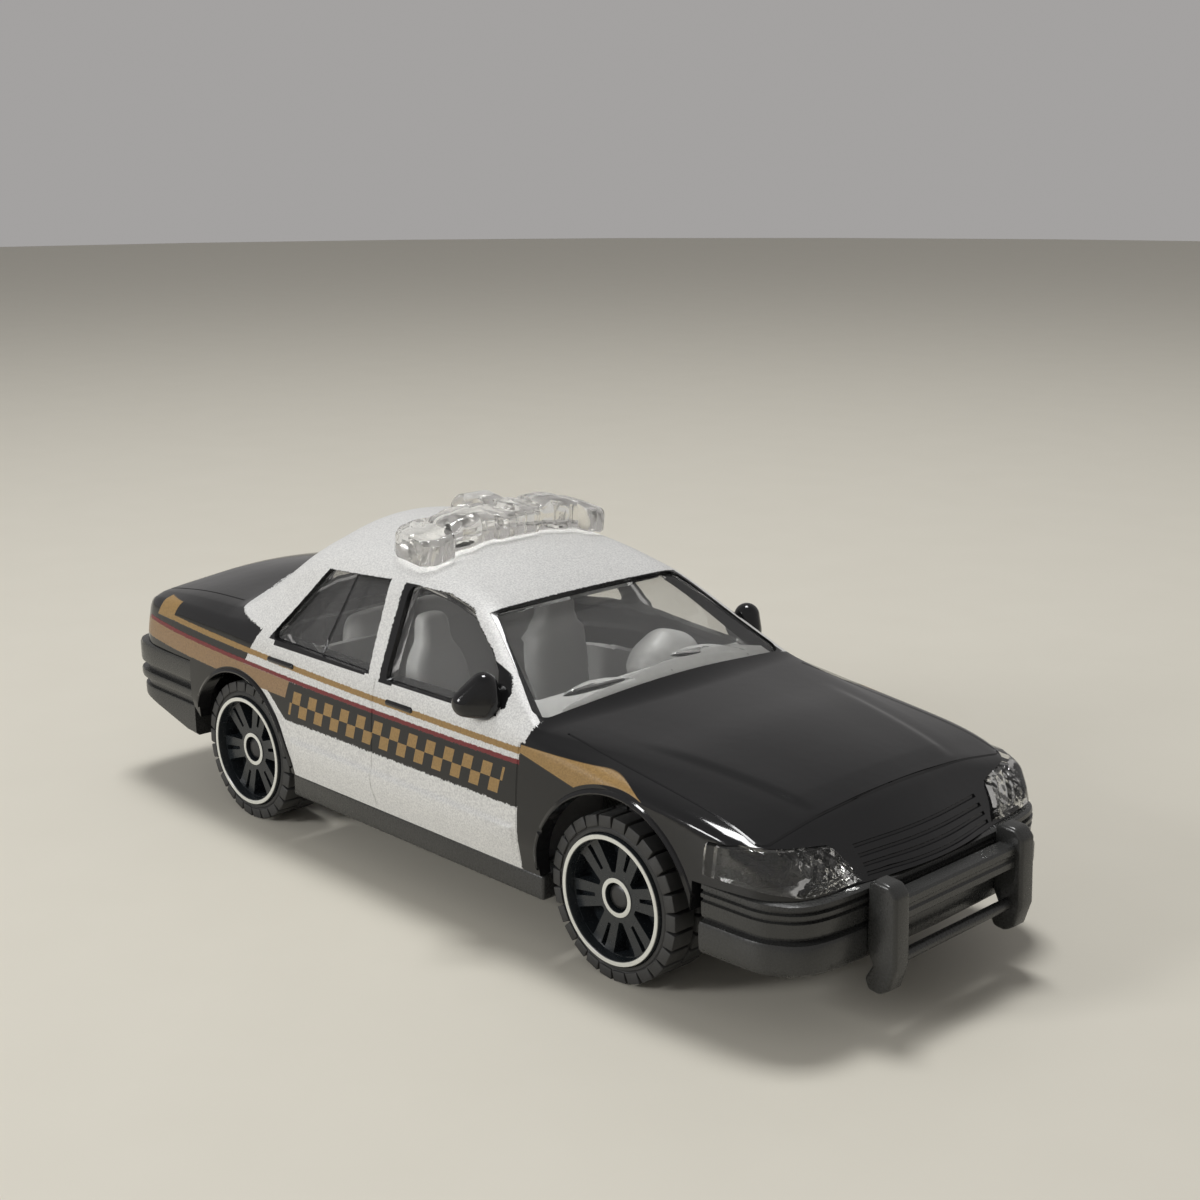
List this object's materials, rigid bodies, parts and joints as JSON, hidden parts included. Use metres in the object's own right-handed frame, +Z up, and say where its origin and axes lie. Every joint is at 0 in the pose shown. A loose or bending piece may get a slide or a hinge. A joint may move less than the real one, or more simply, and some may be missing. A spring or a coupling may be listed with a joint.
{
  "type": "toy police car",
  "caption": "Die-cast toy saloon in police trim with a clear roof light bar, push bar, clear windows over a moulded interior, and free-rolling tyred wheels on steel axles.",
  "frame": {"origin": "on the ground under the middle of the car, midway between the axles", "axes": "+X points to the front of the car, +Y to its left, +Z up"},
  "size_m": [0.0788, 0.0324, 0.0269],
  "materials": {
    "paint": "gloss black enamel on zinc, with printed white cabin and door panels and gold and red stripes",
    "clear": "clear moulded window plastic",
    "clear_lamp": "clear moulded lamp plastic",
    "interior": "satin grey moulding",
    "base": "satin black moulding",
    "steel": "drawn wire with formed heads",
    "rim": "dark blue-grey moulding with white printed rings",
    "tyre": "matte black with block tread"
  },
  "bodies": {
    "body": {"body_casting": "paint", "window_glazing": "clear", "light_bar": "clear_lamp", "headlight_insert": "clear_lamp", "interior_tub": "interior", "base_plate": "base"},
    "front_axle": {"front_axle": "steel"},
    "rear_axle": {"rear_axle": "steel"},
    "front_right_wheel": {"front_right_rim": "rim", "front_right_tyre": "tyre"},
    "front_left_wheel": {"front_left_rim": "rim", "front_left_tyre": "tyre"},
    "rear_right_wheel": {"rear_right_rim": "rim", "rear_right_tyre": "tyre"},
    "rear_left_wheel": {"rear_left_rim": "rim", "rear_left_tyre": "tyre"}
  },
  "joints": [
    {"name": "front_axle_spin", "type": "hinge", "parent": "body", "child": "front_axle", "pos_m": [0.0211, 0, 0.0057], "axis": [0, 1, 0], "continuous": true},
    {"name": "rear_axle_spin", "type": "hinge", "parent": "body", "child": "rear_axle", "pos_m": [-0.0211, 0, 0.0057], "axis": [0, 1, 0], "continuous": true},
    {"name": "front_right_wheel_spin", "type": "hinge", "parent": "front_axle", "child": "front_right_wheel", "pos_m": [0.0211, -0.0114, 0.0057], "axis": [0, 1, 0], "continuous": true},
    {"name": "front_left_wheel_spin", "type": "hinge", "parent": "front_axle", "child": "front_left_wheel", "pos_m": [0.0211, 0.0114, 0.0057], "axis": [0, 1, 0], "continuous": true},
    {"name": "rear_right_wheel_spin", "type": "hinge", "parent": "rear_axle", "child": "rear_right_wheel", "pos_m": [-0.0211, -0.0114, 0.0057], "axis": [0, 1, 0], "continuous": true},
    {"name": "rear_left_wheel_spin", "type": "hinge", "parent": "rear_axle", "child": "rear_left_wheel", "pos_m": [-0.0211, 0.0114, 0.0057], "axis": [0, 1, 0], "continuous": true}
  ]
}
